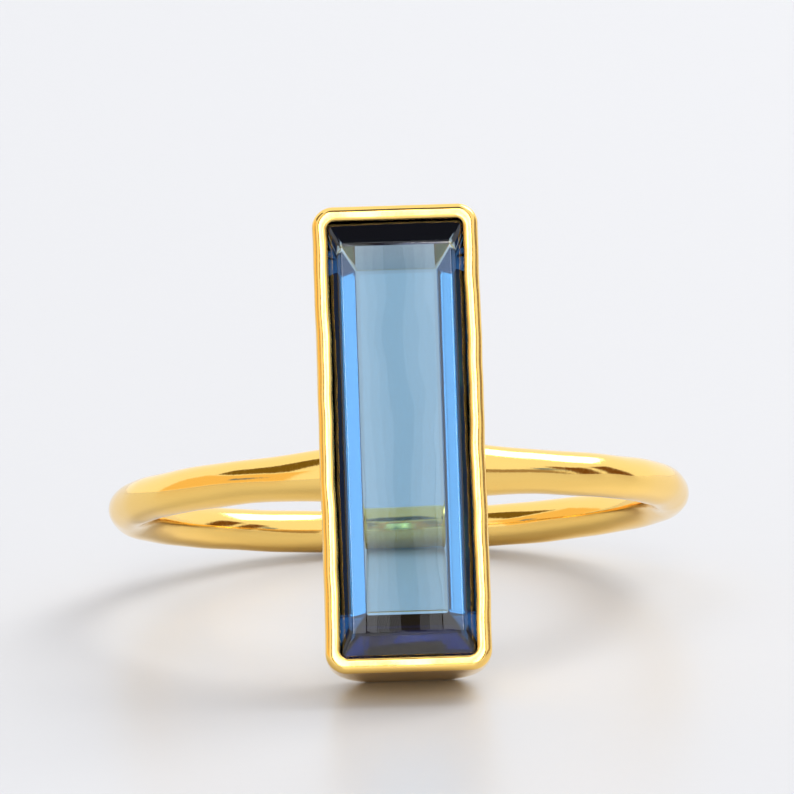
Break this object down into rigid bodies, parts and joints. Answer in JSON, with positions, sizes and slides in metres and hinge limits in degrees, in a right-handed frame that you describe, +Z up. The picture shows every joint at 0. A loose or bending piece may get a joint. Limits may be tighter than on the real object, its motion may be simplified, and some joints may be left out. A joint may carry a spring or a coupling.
{
  "type": "stackable ring",
  "caption": "Gold-coloured ring with a long blue baguette-cut stone in a closed setting on a slim round wire band, lying on its side.",
  "frame": {"origin": "on the surface that the ring lies on, under the middle of its bounding box", "axes": "+Z up from the surface, +X across the finger hole, -Y the way the stone faces, with the stone tilted a little upwards"},
  "size_m": [0.0204, 0.024, 0.016],
  "materials": {
    "gold": "high polish yellow gold plating",
    "blue_stone": "polished facets, clear deep blue"
  },
  "bodies": {
    "root": {"band_and_setting": "gold", "bar_stone": "blue_stone"}
  },
  "joints": []
}
